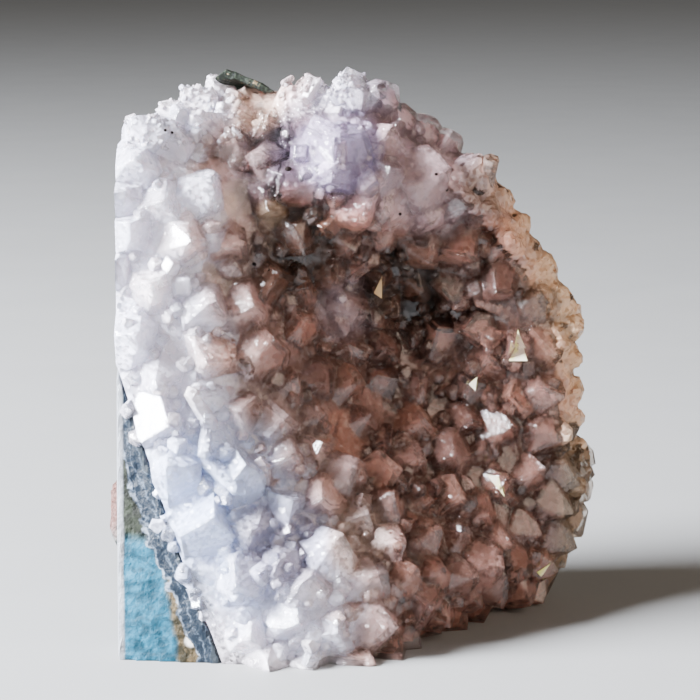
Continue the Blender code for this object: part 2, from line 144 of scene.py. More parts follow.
# Black specks on the points: x, y, z of the place that the camera sees them at, and width
SPECKS = (
    (-10.8, -9.0, 78.1, 1.1),
    (-30.7, -9.0, 84.4, 0.6),
    (-29.6, -9.0, 84.0, 0.6),
    (7.6, 4.0, 69.2, 0.7),
    (13.6, 4.0, 75.9, 0.6),
    (-16.4, -8.0, 62.4, 0.8),
    (15.4, 4.0, 73.2, 0.5),
    (-14.0, -8.0, 61.4, 0.45),
)
SPECK_SHAPE = (1.0, 0.85, 0.7)
SPECK_ROUGHNESS = (0.78, 1.1)

# Flake of dark rock on the top edge: its front outline as x and z, whose first corners are the upper
# edge, the depths of front and back, how much lower the back is, and its foot at the back
FLAKE_FRONT = (
    (-23.2, 91.9),
    (-22.6, 92.4),
    (-21.3, 93.4),
    (-19.6, 92.9),
    (-17.0, 91.8),
    (-15.3, 91.0),
    (-13.2, 89.8),
    (-14.4, 89.5),
    (-17.3, 90.8),
    (-19.6, 91.8),
    (-22.0, 91.6),
)
FLAKE_UPPER = 7
FLAKE_DEPTH = (2.5, 12.0)
FLAKE_DROP = 1.0
FLAKE_FOOT_Z = 89.0
FLAKE_RELIEF = (3.0, 0.12)

# Facets painted as glints in the hollow, in a bright pale colour that stands in for reflected light:
# corners as x and z at a depth y, and how far in front of the points they stand, how deep they go and how
# much they narrow
FLASHES = (
    (9.0, (27.8, 48.9), (26.3, 43.4), (29.5, 43.4)),
    (5.0, (22.3, 24.6), (24.5, 24.2), (25.6, 20.6)),
    (6.0, (31.2, 7.2), (33.6, 8.8), (32.0, 6.4)),
    (3.0, (4.6, 58.9), (3.2, 56.0), (4.6, 55.0)),
    (8.0, (20.9, 40.9), (19.4, 39.6), (20.6, 38.4)),
)
FLASH_LIFT = 0.25
FLASH_LENGTH = 3.0
FLASH_TAPER = 0.35
FLASH_BEVEL = 0.06

# Body colour of the quartz in each zone, and how dark its painted shade between the crystals is
ZONES = {
    "hollow": ((0.43, 0.235, 0.185), 0.27),
    "lavender": ((0.38, 0.265, 0.33), 0.38),
    "rosy": ((0.66, 0.50, 0.52), 0.46),
    "taupe": ((0.34, 0.235, 0.20), 0.40),
    "grey": ((0.12, 0.092, 0.125), 0.32),
    "frosted": ((0.50, 0.43, 0.58), 0.62),
    # Painted shade of the cavity under the overhanging points
    "cavity_shade": ((0.17, 0.08, 0.05), 0.22),
    "gold": ((0.56, 0.42, 0.30), 0.50),
    "crest": ((0.86, 0.84, 0.94), 0.55),
    "beige": ((0.42, 0.29, 0.18), 0.50),
    "green": ((0.44, 0.32, 0.21), 0.40),
    "pink": ((0.65, 0.475, 0.43), 0.46),
    "white": ((0.93, 0.92, 1.0), 0.70),
    "bluish": ((0.64, 0.76, 1.0), 0.62),
    "shade": ((0.50, 0.48, 0.60), 0.55),
    "buff": ((0.66, 0.50, 0.43), 0.50),
    "peach": ((0.72, 0.54, 0.44), 0.55),
}
COOL_TINT = (0.92, 0.93, 1.0)
WARM_TINT = (1.0, 0.91, 0.87)
QUARTZ_IOR = 1.544

# Darkest and lightest colour of each kind of rock
ROCK = {
    "teal": ((0.001, 0.025, 0.041), (0.006, 0.075, 0.122)),
    "olive": ((0.012, 0.010, 0.004), (0.07, 0.05, 0.024)),
    "green": ((0.003, 0.004, 0.002), (0.014, 0.018, 0.011)),
    "skin": ((0.055, 0.075, 0.07), (0.13, 0.15, 0.13)),
    "sawn": ((0.018, 0.024, 0.023), (0.055, 0.066, 0.060)),
    "slate": ((0.008, 0.013, 0.020), (0.075, 0.10, 0.135)),
    "granules": ((0.03, 0.012, 0.009), (0.12, 0.062, 0.052)),
    "greyish": ((0.02, 0.024, 0.024), (0.085, 0.09, 0.085)),
    "by the flake": ((0.02, 0.025, 0.018), (0.13, 0.16, 0.12)),
    "flake": ((0.003, 0.004, 0.003), (0.022, 0.03, 0.02)),
}
ROCK_SHINE = 0.14


# Scene tools


def deselect_all():
    for chosen in bpy.context.selected_objects:
        chosen.select_set(False)


def make_active(piece):
    deselect_all()
    piece.select_set(True)
    bpy.context.view_layer.objects.active = piece


def modify(piece, kind, **settings):
    """Add one modifier with its settings and apply it."""
    make_active(piece)
    step = piece.modifiers.new(kind.lower(), kind)
    step.show_viewport = False
    for setting, value in settings.items():
        setattr(step, setting, value)
    bpy.ops.object.modifier_apply(modifier=step.name)


def name_piece(piece, name):
    piece.name = name
    piece.data.name = name


def joined(copies, name):
    """One piece from many, with its object at the origin."""
    deselect_all()
    for piece in copies:
        piece.select_set(True)
    bpy.context.view_layer.objects.active = copies[0]
    bpy.ops.object.join()
    whole = bpy.context.object
    name_piece(whole, name)
    return whole


def merged_copy(node, name):
    """A closed copy of a node's solid with its flat faces whole."""
    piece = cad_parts[node].copy()
    piece.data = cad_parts[node].data.copy()
    name_piece(piece, name)
    piece.parent = None
    for key in list(piece.keys()):
        del piece[key]
    bpy.context.scene.collection.objects.link(piece)
    form = bmesh.new()
    form.from_mesh(piece.data)
    same_place = 0.001 * MM
    flat = math.radians(0.5)
    bmesh.ops.remove_doubles(form, verts=form.verts, dist=same_place)
    bmesh.ops.dissolve_limit(form, angle_limit=flat, verts=form.verts, edges=form.edges)
    form.to_mesh(piece.data)
    form.free()
    return piece


def coordinates(piece):
    found = np.empty(len(piece.data.vertices) * 3)
    piece.data.vertices.foreach_get("co", found)
    return found.reshape(-1, 3)


def vertex_normals(piece):
    found = np.empty(len(piece.data.vertices) * 3)
    piece.data.vertex_normals.foreach_get("vector", found)
    return found.reshape(-1, 3)


def move_vertices(piece, places, inset=0.0):
    """Move the vertices, but no further than the solids' box less an inset in millimetres."""
    low = np.array(cad_low) + inset * MM
    high = np.array(cad_high) - inset * MM
    piece.data.vertices.foreach_set("co", np.clip(places, low, high).astype(np.float32).ravel())
    piece.data.update()


def keep(piece, name, kind, domain, values):
    """Store a value for each face or vertex, for the material to read."""
    layer = piece.data.attributes.new(name, kind, domain)
    values = np.asarray(values, np.float32)
    layer.data.foreach_set("vector" if kind == "FLOAT_VECTOR" else "value", values.ravel())


def tree_of(piece):
    form = bmesh.new()
    form.from_mesh(piece.data)
    tree = BVHTree.FromBMesh(form)
    form.free()
    return tree


def smoothly(value, low, high):
    share = np.clip((value - low) / (high - low), 0.0, 1.0)
    return share * share * (3.0 - 2.0 * share)


def relief(places, size, seed, octaves=4):
    """Soft noise between about -1 and 1 for many places at once, with lumps of size millimetres."""
    waves = 5
    usual_sum = 3.2
    rng = random.Random(seed)
    total = np.zeros(len(places))
    strength = 1.0
    for _ in range(octaves):
        for _ in range(waves):
            way = np.array([rng.gauss(0, 1) for _ in range(3)])
            way *= math.tau / (size * MM) / np.linalg.norm(way) * rng.uniform(0.6, 1.2)
            total += strength * np.sin(places @ way + rng.uniform(0, math.tau)) / usual_sum
        size *= 0.52
        strength *= 0.55
    return total


def corner_edge(z):
    return np.interp(z, [at for at, _ in CORNER_EDGE], [edge for _, edge in CORNER_EDGE])


# Quartz points


def quartz_point(name, rng):
    """A six-sided point 1 mm wide that stands on the origin and reaches as far below it."""
    deselect_all()
    bpy.ops.mesh.primitive_cylinder_add(vertices=6, radius=0.5 * MM, depth=2 * POINT_LENGTH * MM)
    piece = bpy.context.object
    piece.name = name
    bpy.ops.object.mode_set(mode="EDIT")
    three_faced = rng.random() < THREE_FACED
    for side in range(6):
        turn = math.radians(30 + 60 * side)
        if side % 2:
            stands_off = NO_FACE if three_faced else rng.uniform(*SMALL_FACES)
        else:
            stands_off = rng.uniform(*LARGE_FACES)
        out = math.cos(TIP_ANGLE)
        face = Vector((out * math.cos(turn), out * math.sin(turn), math.sin(TIP_ANGLE)))
        through = Vector((0, 0, TIP_HEIGHT * MM)) + face * stands_off * MM
        plane = {"plane_co": through, "plane_no": face}
        bpy.ops.mesh.select_all(action="SELECT")
        bpy.ops.mesh.bisect(**plane, use_fill=True, clear_outer=True, threshold=1e-7)
    bpy.ops.object.mode_set(mode="OBJECT")
    return piece


def openness(tree, place, normal, rng, rays=14, reach=7.0 * MM):
    """Share of the sky seen from a place on the crust, and the mean way out."""
    way = Vector()
    free = 0
    for _ in range(rays):
        ray = Vector((rng.gauss(0, 1), rng.gauss(0, 1), rng.gauss(0, 1))).normalized()
        if ray.dot(normal) < 0:
            ray = -ray
        if tree.ray_cast(place + normal * 0.05 * MM, ray, reach)[0] is None:
            way += ray
            free += 1
    return free / rays, (way + 0.4 * normal).normalized()


def inside_box(points):
    """Whether points keep within the solids' box. Below it the saw cuts them off."""
    slack = 0.05 * MM
    for point in points:
        if point.y < cad_low.y + slack or point.x < cad_low.x + slack:
            return False
        if any(point[axis] > cad_high[axis] - slack for axis in range(3)):
            return False
    return True


def placed_point(source, foot, way, size, rng, sunk):
    """A copy of one kind of point, turned, sized in millimetres and sunk into what carries it."""
    broad = size * rng.uniform(*FLATTENING)
    long = size * rng.uniform(*SHORTENING)
    shape = Matrix.Diagonal((size, broad, long, 1.0))
    turn = Matrix.Rotation(rng.uniform(0, math.tau), 4, "Z")
    aim = way.to_track_quat("Z", "Y").to_matrix().to_4x4() @ turn
    data = source.data.copy()
    data.transform(Matrix.Translation(foot - way * sunk * size * MM) @ aim @ shape)
    if not inside_box([vert.co for vert in data.vertices]):
        bpy.data.meshes.remove(data)
        return None
    piece = bpy.data.objects.new(source.name + "_copy", data)
    bpy.context.scene.collection.objects.link(piece)
    return piece


def in_grooves(place, free, rng):
    """Between the large points, the more the deeper."""
    return rng.random() > (free - 0.15) * 1.9


def on_white_crest(place, free, rng):
    """On the white top edge, clear of the flake."""
    x, z = place.x / MM, place.z / MM
    by_the_flake = -23.5 < x < -9.5 and place.y / MM > 2.0
    return z > 82 and x < -16 + 2.2 * (z - 82) and not by_the_flake


def on_white_side(place, free, rng):
    """Between the points of the lower left side."""
    x, z = place.x / MM, place.z / MM
    return z < 62 and x < 2 - 0.5 * z and rng.random() > (free - 0.2) * 1.8


def on_frosted_point(place, free, rng):
    """On the largest point, below the crest."""
    x, z = FROSTED_POINT
    return math.hypot(place.x / MM - x, place.z / MM - z) < 6.5


def scattered(kinds, crust, count, seed, wanted, sizes, sunk):
    """Points grown at random places of the crust where they are wanted."""
    rng = random.Random(seed)
    form = bmesh.new()
    form.from_mesh(crust.data)
    bmesh.ops.triangulate(form, faces=form.faces)
    tree = BVHTree.FromBMesh(form)
    form.faces.ensure_lookup_table()
    heap = np.cumsum([face.calc_area() for face in form.faces])
    margin = OFF_THE_SAW * MM
    copies = []
    while len(copies) < count:
        face = form.faces[int(np.searchsorted(heap, rng.random() * heap[-1]))]
        a, b, c = (corner.co for corner in face.verts)
        r, s = math.sqrt(rng.random()), rng.random()
        place = a * (1 - r) + b * (r * (1 - s)) + c * (r * s)
        if face.normal.y > FACES_BACK or place.x < SAWN_LEFT_X + margin or place.z < margin:
            continue
        free, way = openness(tree, place, face.normal, rng)
        if not wanted(place, free, rng):
            continue
        size = sizes[0] + (sizes[1] - sizes[0]) * rng.random() ** 1.6
        lean = Vector((rng.gauss(0, 0.22), rng.gauss(0, 0.22), rng.gauss(0, 0.22)))
        copy = placed_point(rng.choice(kinds), place, (way + lean).normalized(), size, rng, sunk)
        if copy:
            copies.append(copy)
    form.free()
    return copies


def corner_points(kinds, rng):
    """White points that grow over the edge of the rock in the lower left corner."""
    rock = tree_of(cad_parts["rock_matrix"])
    copies = []
    while len(copies) < CORNER_POINTS:
        z = rng.uniform(*CORNER_Z)
        over = sum(far * math.exp(-((z - at) / breadth) ** 2) for at, far, breadth in CORNER_REACHES)
        x = float(corner_edge(z)) + rng.uniform(-over + 0.6, 2.2)
        size = rng.uniform(*CORNER_WIDTHS)
        start = Vector((max(x, SAWN_LEFT_X / MM + 0.4), -60.0, z)) * MM
        place = rock.ray_cast(start, Vector((0, 1, 0)))[0]
        if place is None or place.y > -5.0 * MM:
            continue
        way = Vector((rng.gauss(-0.15, 0.3), -1.0, rng.gauss(0.1, 0.3))).normalized()
        copy = placed_point(rng.choice(kinds), place, way, size, rng, 0.95)
        if copy:
            copies.append(copy)
    return copies


def saw(piece, low, high):
    """Cut away all that lies between two corners in millimetres."""
    deselect_all()
    bpy.ops.mesh.primitive_cube_add(size=1.0, location=[(a + b) / 2 * MM for a, b in zip(low, high)])
    block = bpy.context.object
    block.scale = [(b - a) * MM for a, b in zip(low, high)]
    bpy.ops.object.transform_apply(location=True, rotation=True, scale=True)
    modify(piece, "BOOLEAN", operation="DIFFERENCE", solver="MANIFOLD", object=block)
    bpy.data.objects.remove(block)


def crystal_points():
    """The glassy outer shell: the large points of the solid and the small ones, all grown together."""
    shell = merged_copy("crystal_crust", "amethyst_points")
    rng = random.Random(7)
    kinds = [quartz_point(f"point_kind_{number}", rng) for number in range(POINT_KINDS)]

    # How many, their random seed, where, least and greatest width, and the share that is sunk
    copies = scattered(kinds, shell, 330, 7, in_grooves, (1.8, 4.2), 0.75)
    copies += scattered(kinds, shell, 520, 8, on_white_crest, (0.5, 1.2), 0.85)
    copies += scattered(kinds, shell, 70, 9, on_white_side, (1.8, 3.2), 0.8)
    copies += scattered(kinds, shell, 34, 10, on_frosted_point, (1.4, 3.4), 0.95)
    copies += corner_points(kinds, rng)
    small = joined(copies, "small_points")
    for kind in kinds:
        bpy.data.objects.remove(kind)
    modify(shell, "BOOLEAN", operation="UNION", solver="EXACT", use_self=True, object=small)
    bpy.data.objects.remove(small)
    saw(shell, (-90.0, -90.0, -60.0), (SAWN_LEFT_X / MM, 90.0, 130.0))
    saw(shell, (-90.0, -90.0, -60.0), (90.0, 90.0, 0.0))
    return shell


def crystal_lots(shell):
    """Three random shares for each crystal. Crystals meet in valleys, and one crystal has only ridges."""
    rng = random.Random(21)
    form = bmesh.new()
    form.from_mesh(shell.data)
    lots = [None] * len(form.faces)
    for start in form.faces:
        if lots[start.index]:
            continue
        lot = (rng.random(), rng.random(), rng.random())
        lots[start.index] = lot
        border = [start]
        while border:
            for edge in border.pop().edges:
                if len(edge.link_faces) != 2 or edge.calc_face_angle_signed() < VALLEY:
                    continue
                for face in edge.link_faces:
                    if not lots[face.index]:
                        lots[face.index] = lot
                        border.append(face)
    form.free()
    return lots


def occlusion_for_shade(places, normals, tree, reach=5.0 * MM):
    """0 in the open and 1 deep between the crystals, for many places: the occlusion that the materials
    turn into painted shade.
    """
    rng = random.Random(17)
    rays = [Vector([rng.gauss(0, 1) for _ in range(3)]).normalized() for _ in range(24)]
    found = np.zeros(len(places))
    for at, (place, normal) in enumerate(zip(places, normals)):
        normal = Vector(normal)
        start = Vector(place) + normal * 0.05 * MM
        sky = [ray for ray in rays if ray.dot(normal) > 0.1]
        met = sum(tree.ray_cast(start, ray, reach)[0] is not None for ray in sky)
        found[at] = met / max(1, len(sky))
    return found


def rim_nearness(places):
    """1 on the right rim and 0 a few millimetres inside it."""
    nearest = np.full(len(places), 1e3)
    for (ax, az), (bx, bz) in zip(RIM_LINE, RIM_LINE[1:]):
        start = np.array((ax, az))
        along = np.array((bx - ax, bz - az))
        off = places[:, (0, 2)] / MM - start
        share = np.clip(off @ along / (along @ along), 0.0, 1.0)
        nearest = np.minimum(nearest, np.linalg.norm(off - share[:, None] * along, axis=1))
    return 1.0 - smoothly(nearest, *RIM_WIDTH)


def milky_quartz(shell, lots):
    """The cloudy quartz inside the points, lower than their faces but for the right rim."""
    core = merged_copy("crystal_crust", "milky_quartz")
    modify(core, "REMESH", mode="VOXEL", voxel_size=0.8 * MM)
    modify(core, "SMOOTH", factor=0.5, iterations=14)
    outside = tree_of(shell)
    places = coordinates(core)
    normals = vertex_normals(core)
    out = rim_nearness(places) * smoothly(-normals[:, 1] + 0.6 * normals[:, 0], -0.2, 0.3)
    grain_size, grain_height = RIM_GRAINS
    rise = (RIM_RISE + grain_height * relief(places, grain_size, 31)) * out
    places += normals * ((rise - CORE_DEPTH) * MM)[:, None]
    cover = CORE_COVER * MM
    surface = places.copy()
    facing = normals.copy()
    own_lot = np.zeros((len(places), 3))
    for at, place in enumerate(places):
        on_rim = out[at] >= 0.4
        for _ in range(3):
            near, normal, face, _ = outside.find_nearest(Vector(place))
            off = Vector(place) - near
            depth = off.length if off.dot(normal) < 0 else -off.length
            if depth >= cover or on_rim:
                break
            place -= np.array(normal) * (cover - depth)
        own_lot[at] = lots[face]
        if not on_rim:
            surface[at] = near
            facing[at] = normal
    move_vertices(core, places, inset=0.1)
    keep(core, "crystal", "FLOAT_VECTOR", "POINT", own_lot)
    # Occlusion between the crystals, kept for the painted shade of the material
    keep(core, "groove", "FLOAT", "POINT", occlusion_for_shade(surface, facing, outside))
    return core


def host_rock():
    """The rock with its natural rough skin, flat on the saw cuts and at the seam."""
    rock = merged_copy("rock_matrix", "basalt_matrix")
    crust = tree_of(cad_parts["crystal_crust"])
    modify(rock, "REMESH", mode="VOXEL", voxel_size=0.55 * MM)
    places = coordinates(rock)
    normals = vertex_normals(rock)
    apart = np.array([crust.find_nearest(Vector(place))[3] for place in places])
    free = smoothly(apart / MM, 0.5, 2.5)
    free *= smoothly(np.abs(places[:, 0] - SAWN_LEFT_X) / MM, 0.1, 1.2)
    free *= smoothly(places[:, 2] / MM, 0.1, 1.5)
    free *= 0.2 + 0.8 * smoothly(places[:, 1] / MM, -16.0, -11.0)
    lumps = relief(places, LUMPS[0], 3)
    grit = relief(places, GRIT[0], 4, octaves=3)
    pits = np.clip(-relief(places, PITS[0], 5, octaves=2) - 0.5, 0.0, 1.0)
    height = LUMPS[1] * lumps + GRIT[1] * grit - PITS[1] * pits - SKIN_DEPTH
    on_swelling = 1.0 - smoothly(places[:, 0] / MM, -39.2, -38.6)
    height += on_swelling * (SWELLING_GRIT * grit + SWELLING_GRIT - height)
    move_vertices(rock, places + normals * (free * height * MM)[:, None])
    keep(rock, "from_crust", "FLOAT", "POINT", apart / MM)
    return rock


def seen_place(tree, x, y, z):
    """Where the camera's ray through a place meets the crystals, the normal there, and the ray."""
    way = (Vector((x, y, z)) * MM - VIEW_FROM).normalized()
    place, normal, _, _ = tree.ray_cast(VIEW_FROM, way)
    return place, normal, way


def iron_specks(shell):
    """Small black grains of iron oxide that sit on the points."""
    tree = tree_of(shell)
    rng = random.Random(3)
    copies = []
    for x, y, z, width in SPECKS:
        place, normal, _ = seen_place(tree, x, y, z)
        deselect_all()
        bpy.ops.mesh.primitive_ico_sphere_add(subdivisions=2, radius=0.5 * width * MM)
        grain = bpy.context.object
        for vert in grain.data.vertices:
            vert.co *= rng.uniform(*SPECK_ROUGHNESS)
        flat = normal.to_track_quat("Z", "Y").to_matrix().to_4x4() @ Matrix.Diagonal((*SPECK_SHAPE, 1.0))
        grain.data.transform(Matrix.Translation(place) @ flat)
        copies.append(grain)
    return joined(copies, "iron_specks")


def slab(front, back):
    """A closed piece between two outlines with as many corners each."""
    deselect_all()
    bpy.ops.mesh.primitive_cylinder_add(vertices=len(front), radius=1 * MM, depth=1 * MM)
    piece = bpy.context.object
    corners = piece.data.vertices
    lower = [vert for vert in corners if vert.co.z < 0]
    upper = [vert for vert in corners if vert.co.z > 0]
    for half, outline in ((lower, front), (upper, back)):
        half.sort(key=lambda vert: math.atan2(vert.co.y, vert.co.x))
        for vert, point in zip(half, outline):
            vert.co = point
    bpy.ops.object.mode_set(mode="EDIT")
    bpy.ops.mesh.select_all(action="SELECT")
    bpy.ops.mesh.normals_make_consistent(inside=False)
    bpy.ops.object.mode_set(mode="OBJECT")
    return piece


def rock_flake():
    """A thin flake that lies over the crest from the rock behind it."""
    near, far = FLAKE_DEPTH
    front = [Vector((x, near, z)) * MM for x, z in FLAKE_FRONT]
    back = []
    for at, (x, z) in enumerate(FLAKE_FRONT):
        low = FLAKE_FOOT_Z if at >= FLAKE_UPPER else z - FLAKE_DROP
        back.append(Vector((x, far, low)) * MM)
    flake = slab(front, back)
    name_piece(flake, "rock_flake")
    modify(flake, "REMESH", mode="VOXEL", voxel_size=0.25 * MM)
    size, height = FLAKE_RELIEF
    places = coordinates(flake)
    places += vertex_normals(flake) * (height * relief(places, size, 12) * MM)[:, None]
    move_vertices(flake, places)
    return flake


def straw_facets(shell):
    """Wedges of quartz whose front facet is a painted glint: a bright pale colour that stands in for
    reflected light.
    """
    tree = tree_of(shell)
    copies = []
    for depth, *corners in FLASHES:
        met = [seen_place(tree, x, depth, z) for x, z in corners]
        nearest = min((place - VIEW_FROM).length for place, _, _ in met) - FLASH_LIFT * MM
        front = [VIEW_FROM + way * nearest for _, _, way in met]
        middle = sum(front, Vector()) / 3
        away = (middle - VIEW_FROM).normalized() * FLASH_LENGTH * MM
        back = [point + (middle - point) * FLASH_TAPER + away for point in front]
        copies.append(slab(front, back))
    whole = joined(copies, "straw_facets")
    modify(whole, "BEVEL", width=FLASH_BEVEL * MM, segments=1)
    return whole


# Materials


class Value:
    """A number that varies over a surface. Arithmetic on it adds Math nodes."""

    def __init__(self, finish, socket):
        self.finish = finish
        self.socket = socket

    def maths(self, operation, *terms):
        return self.finish.add("ShaderNodeMath", {"operation": operation}, dict(enumerate(terms)))

    def __add__(self, other):
        return self.maths("ADD", self, other)

    __radd__ = __add__

    def __sub__(self, other):
        return self.maths("SUBTRACT", self, other)

    def __rsub__(self, other):
        return self.maths("SUBTRACT", other, self)

    def __mul__(self, other):
        return self.maths("MULTIPLY", self, other)

    __rmul__ = __mul__

    def __truediv__(self, other):
        return self.maths("DIVIDE", self, other)

    def __pow__(self, other):
        return self.maths("POWER", self, other)

    def between(self, low, high):
        """0 below low and 1 above high, with a soft step."""
        settings = {"interpolation_type": "SMOOTHSTEP"}
        inputs = {"Value": self, "From Min": low, "From Max": high}
        return self.finish.add("ShaderNodeMapRange", settings, inputs)


class Finish:
    """A material's node tree."""

    def __init__(self, name):
        self.material = bpy.data.materials.new(name)
        self.material.use_nodes = True
        self.tree = self.material.node_tree
        self.tree.nodes.clear()
        self.out = self.tree.nodes.new("ShaderNodeOutputMaterial")
        self.place = self.add("ShaderNodeTexCoord", {}, {}, "Object")
        self.x = self.part(self.place, "X") / MM
        self.y = self.part(self.place, "Y") / MM
        self.z = self.part(self.place, "Z") / MM

    def add(self, kind, settings, inputs, output=0):
        """Add a node, its settings first and its sockets then, and give one output."""
        node = self.tree.nodes.new(kind)
        for setting, value in settings.items():
            setattr(node, setting, value)
        for name, value in inputs.items():
            socket = node.inputs[name]
            if isinstance(value, Value):
                self.tree.links.new(value.socket, socket)
            elif hasattr(socket.default_value, "__len__") and len(value) < len(socket.default_value):
                socket.default_value = (*value, 1.0)
            else:
                socket.default_value = value
        return Value(self, node.outputs[output])

    def part(self, vector, name):
        return self.add("ShaderNodeSeparateXYZ", {}, {0: vector}, name)

    def kept(self, name, output="Fac"):
        """A value stored on the mesh."""
        return self.add("ShaderNodeAttribute", {"attribute_name": name}, {}, output)

    def noise(self, size, detail=3.0, roughness=0.55, distortion=0.0):
        """Soft random pattern whose lumps are about size millimetres."""
        inputs = {"Vector": self.place, "Scale": 1.0 / (size * MM), "Detail": detail}
        inputs.update({"Roughness": roughness, "Distortion": distortion})
        return self.add("ShaderNodeTexNoise", {}, inputs, "Fac")

    def cells(self, size):
        """A random colour for each cell about size millimetres wide."""
        inputs = {"Vector": self.place, "Scale": 1.0 / (size * MM)}
        return self.add("ShaderNodeTexVoronoi", {}, inputs, "Color")

    def blend(self, share, low, high, how="MIX"):
        """Mix of two colours."""
        settings = {"data_type": "RGBA", "blend_type": how}
        return self.add("ShaderNodeMix", settings, {"Factor": share, 6: low, 7: high}, 2)

    def vector_maths(self, operation, first, second):
        inputs = {0: first, 1: second}
        return self.add("ShaderNodeVectorMath", {"operation": operation}, inputs, "Vector")

    def shaded(self, colour, amount):
        """A colour times a number."""
        inputs = {0: colour, "Scale": amount}
        return self.add("ShaderNodeVectorMath", {"operation": "SCALE"}, inputs, "Vector")

    def near(self, x, z, radius, softness):
        """1 near a place on the front, in millimetres, and 0 away from it."""
        distance = ((self.x - x) ** 2 + (self.z - z) ** 2) ** 0.5
        return 1 - distance.between(radius, radius + softness)

    def bump(self, height, depth):
        """Relief of depth millimetres."""
        return self.add("ShaderNodeBump", {}, {"Height": height, "Distance": depth * MM}, "Normal")

    def surface(self, **inputs):
        named = {name.replace("_", " "): value for name, value in inputs.items()}
        return self.add("ShaderNodeBsdfPrincipled", {}, named, "BSDF")

    def mix_surfaces(self, share, first, second):
        return self.add("ShaderNodeMixShader", {}, {0: share, 1: first, 2: second}, "Shader")

    def done(self, shader):
        self.tree.links.new(shader.socket, self.out.inputs["Surface"])
        return self.material


def glints(finish, size, tilt):
    """A normal that leans another way in each small cell, so that some cells catch the light."""
    lean = finish.vector_maths("SUBTRACT", finish.cells(size), (0.5, 0.5, 0.5))
    upright = finish.add("ShaderNodeNewGeometry", {}, {}, "Normal")
    leant = finish.vector_maths("ADD", upright, finish.shaded(lean, tilt))
    return finish.add("ShaderNodeVectorMath", {"operation": "NORMALIZE"}, {0: leant}, "Vector")


def softened(finish, radius, normal):
    """A normal that rounds the edges over a radius in millimetres."""
    inputs = {"Radius": radius * MM, "Normal": normal}
    return finish.add("ShaderNodeBevel", {"samples": 4}, inputs, "Normal")


class Druse:
    """Colour zones of the crystals, whose borders follow single crystals."""

    def __init__(self, finish):
        self.finish = finish
        lot = finish.kept("crystal", "Vector")
        self.tone, self.warmth, self.clarity = (finish.part(lot, name) for name in "XYZ")
        wander = (finish.noise(11.0, detail=2.0) - 0.5) * 9.0 + (self.warmth - 0.5) * 6.0
        x, z = finish.x, finish.z
        near = finish.near
        white_edge = -1.5 - 23.0 * z.between(5.0, 58.0) + 9.0 * z.between(80.0, 92.0)
        past_white = x + wander - white_edge
        white = 1 - past_white.between(-3.0, 3.5)
        self.shares = {
            "lavender": (z + wander).between(70.0, 80.0),
            "rosy": near(13.0, 79.0, 9.0, 6.0) + near(-0.8, 53.5, 4.0, 2.5),
            "taupe": near(23.0, 74.5, 4.0, 3.0),
            "grey": near(-17.0, 79.5, 6.5, 6.0) + near(-9.5, 78.5, 2.5, 2.5) * 0.4,
            "frosted": near(*FROSTED_POINT, 6.0, 2.0),
            # Painted shade of the cavity under the overhanging points
            "cavity_shade": near(-11.0, 65.5, 6.0, 6.0) + near(8.5, 56.0, 5.0, 6.0),
            "gold": near(-21.0, 72.5, 1.2, 1.2) + near(-13.5, 70.8, 1.4, 1.6),
            "crest": (z + wander * 0.3).between(85.5, 89.0) * (1 - x.between(-2.0, 8.0)),
            "beige": (x + wander * 0.35 + (z - 48.0) * 0.3).between(28.0, 38.0) * z.between(30.0, 38.0),
            "green": (x + wander * 0.35).between(32.0, 37.0) * (1 - z.between(30.0, 38.0)),
            "pink": 1 - past_white.between(2.0, 13.0),
            "white": white,
            "bluish": near(-23.0, 22.0, 8.0, 14.0) * white * 0.8,
            "shade": near(-11.5, 19.0, 4.0, 7.0) * 0.8,
            "buff": near(0.8, 18.8, 3.6, 3.0),
            "peach": near(-16.2, 88.0, 2.6, 3.0),
        }

    def colour(self, worked_out):
        """Blend over the zones of what a function makes of each zone's body colour and darkness."""
        mixed = worked_out(*ZONES["hollow"])
        for zone, share in self.shares.items():
            mixed = self.finish.blend(share, mixed, worked_out(*ZONES[zone]))
        return mixed

    def varied(self, colour, spread):
        """The colour lighter or darker, and cooler or warmer, from crystal to crystal."""
        spread = spread * (1 - self.shares["white"] * 0.6)
        tint = self.finish.blend(self.warmth, COOL_TINT, WARM_TINT)
        tinted = self.finish.blend(1.0, colour, tint, how="MULTIPLY")
        return self.finish.shaded(tinted, 1 + (self.tone * 2 - 1) * spread)


def body_colour(body, darkness):
    return body


def clear_colour(body, darkness):
    """Paler than the body colour, for light that goes through."""
    return tuple(channel ** 0.22 for channel in body)


def painted_shade_colour(body, darkness):
    """Darker and stronger than the body colour: painted shade for the places between the crystals."""
    return tuple(darkness * channel ** 1.8 for channel in body)


def glassy_finish():
    """Clear quartz by transmission, mixed with a cloudy share that differs between crystals."""
    finish = Finish("amethyst_glass")
    druse = Druse(finish)
    groove = finish.kept("groove")
    clear = druse.colour(clear_colour)
    milk = druse.varied(druse.colour(body_colour), 0.3)
    painted_shade = druse.colour(painted_shade_colour)
    # Painted shade: the cloudy colour darkens towards the places between the crystals
    milk = finish.blend(groove.between(0.25, 1.0) * 0.7, milk, painted_shade)
    waves = finish.bump(finish.noise(0.9, detail=4.0), 0.05)
    normal = softened(finish, 0.45, waves)
    veil = finish.noise(3.5, detail=5.0, roughness=0.6).between(0.42, 0.72)
    frost = druse.clarity.between(0.35, 1.0) * 0.2 + 0.05
    whiter = druse.shares["white"] + druse.shares["frosted"] + druse.shares["crest"]
    cloudiness = 0.04 + veil * 0.22 + (1 - druse.clarity) * 0.25 + whiter * 0.14
    glass = finish.surface(
        Base_Color=clear, Roughness=frost, IOR=QUARTZ_IOR, Transmission_Weight=1.0, Normal=normal
    )
    sparkle = softened(finish, 1.1, glints(finish, 0.6, 0.8))
    cloudy = finish.surface(Base_Color=milk, Roughness=0.14, IOR=QUARTZ_IOR, Normal=sparkle)
    return finish.done(finish.mix_surfaces(cloudiness, glass, cloudy))


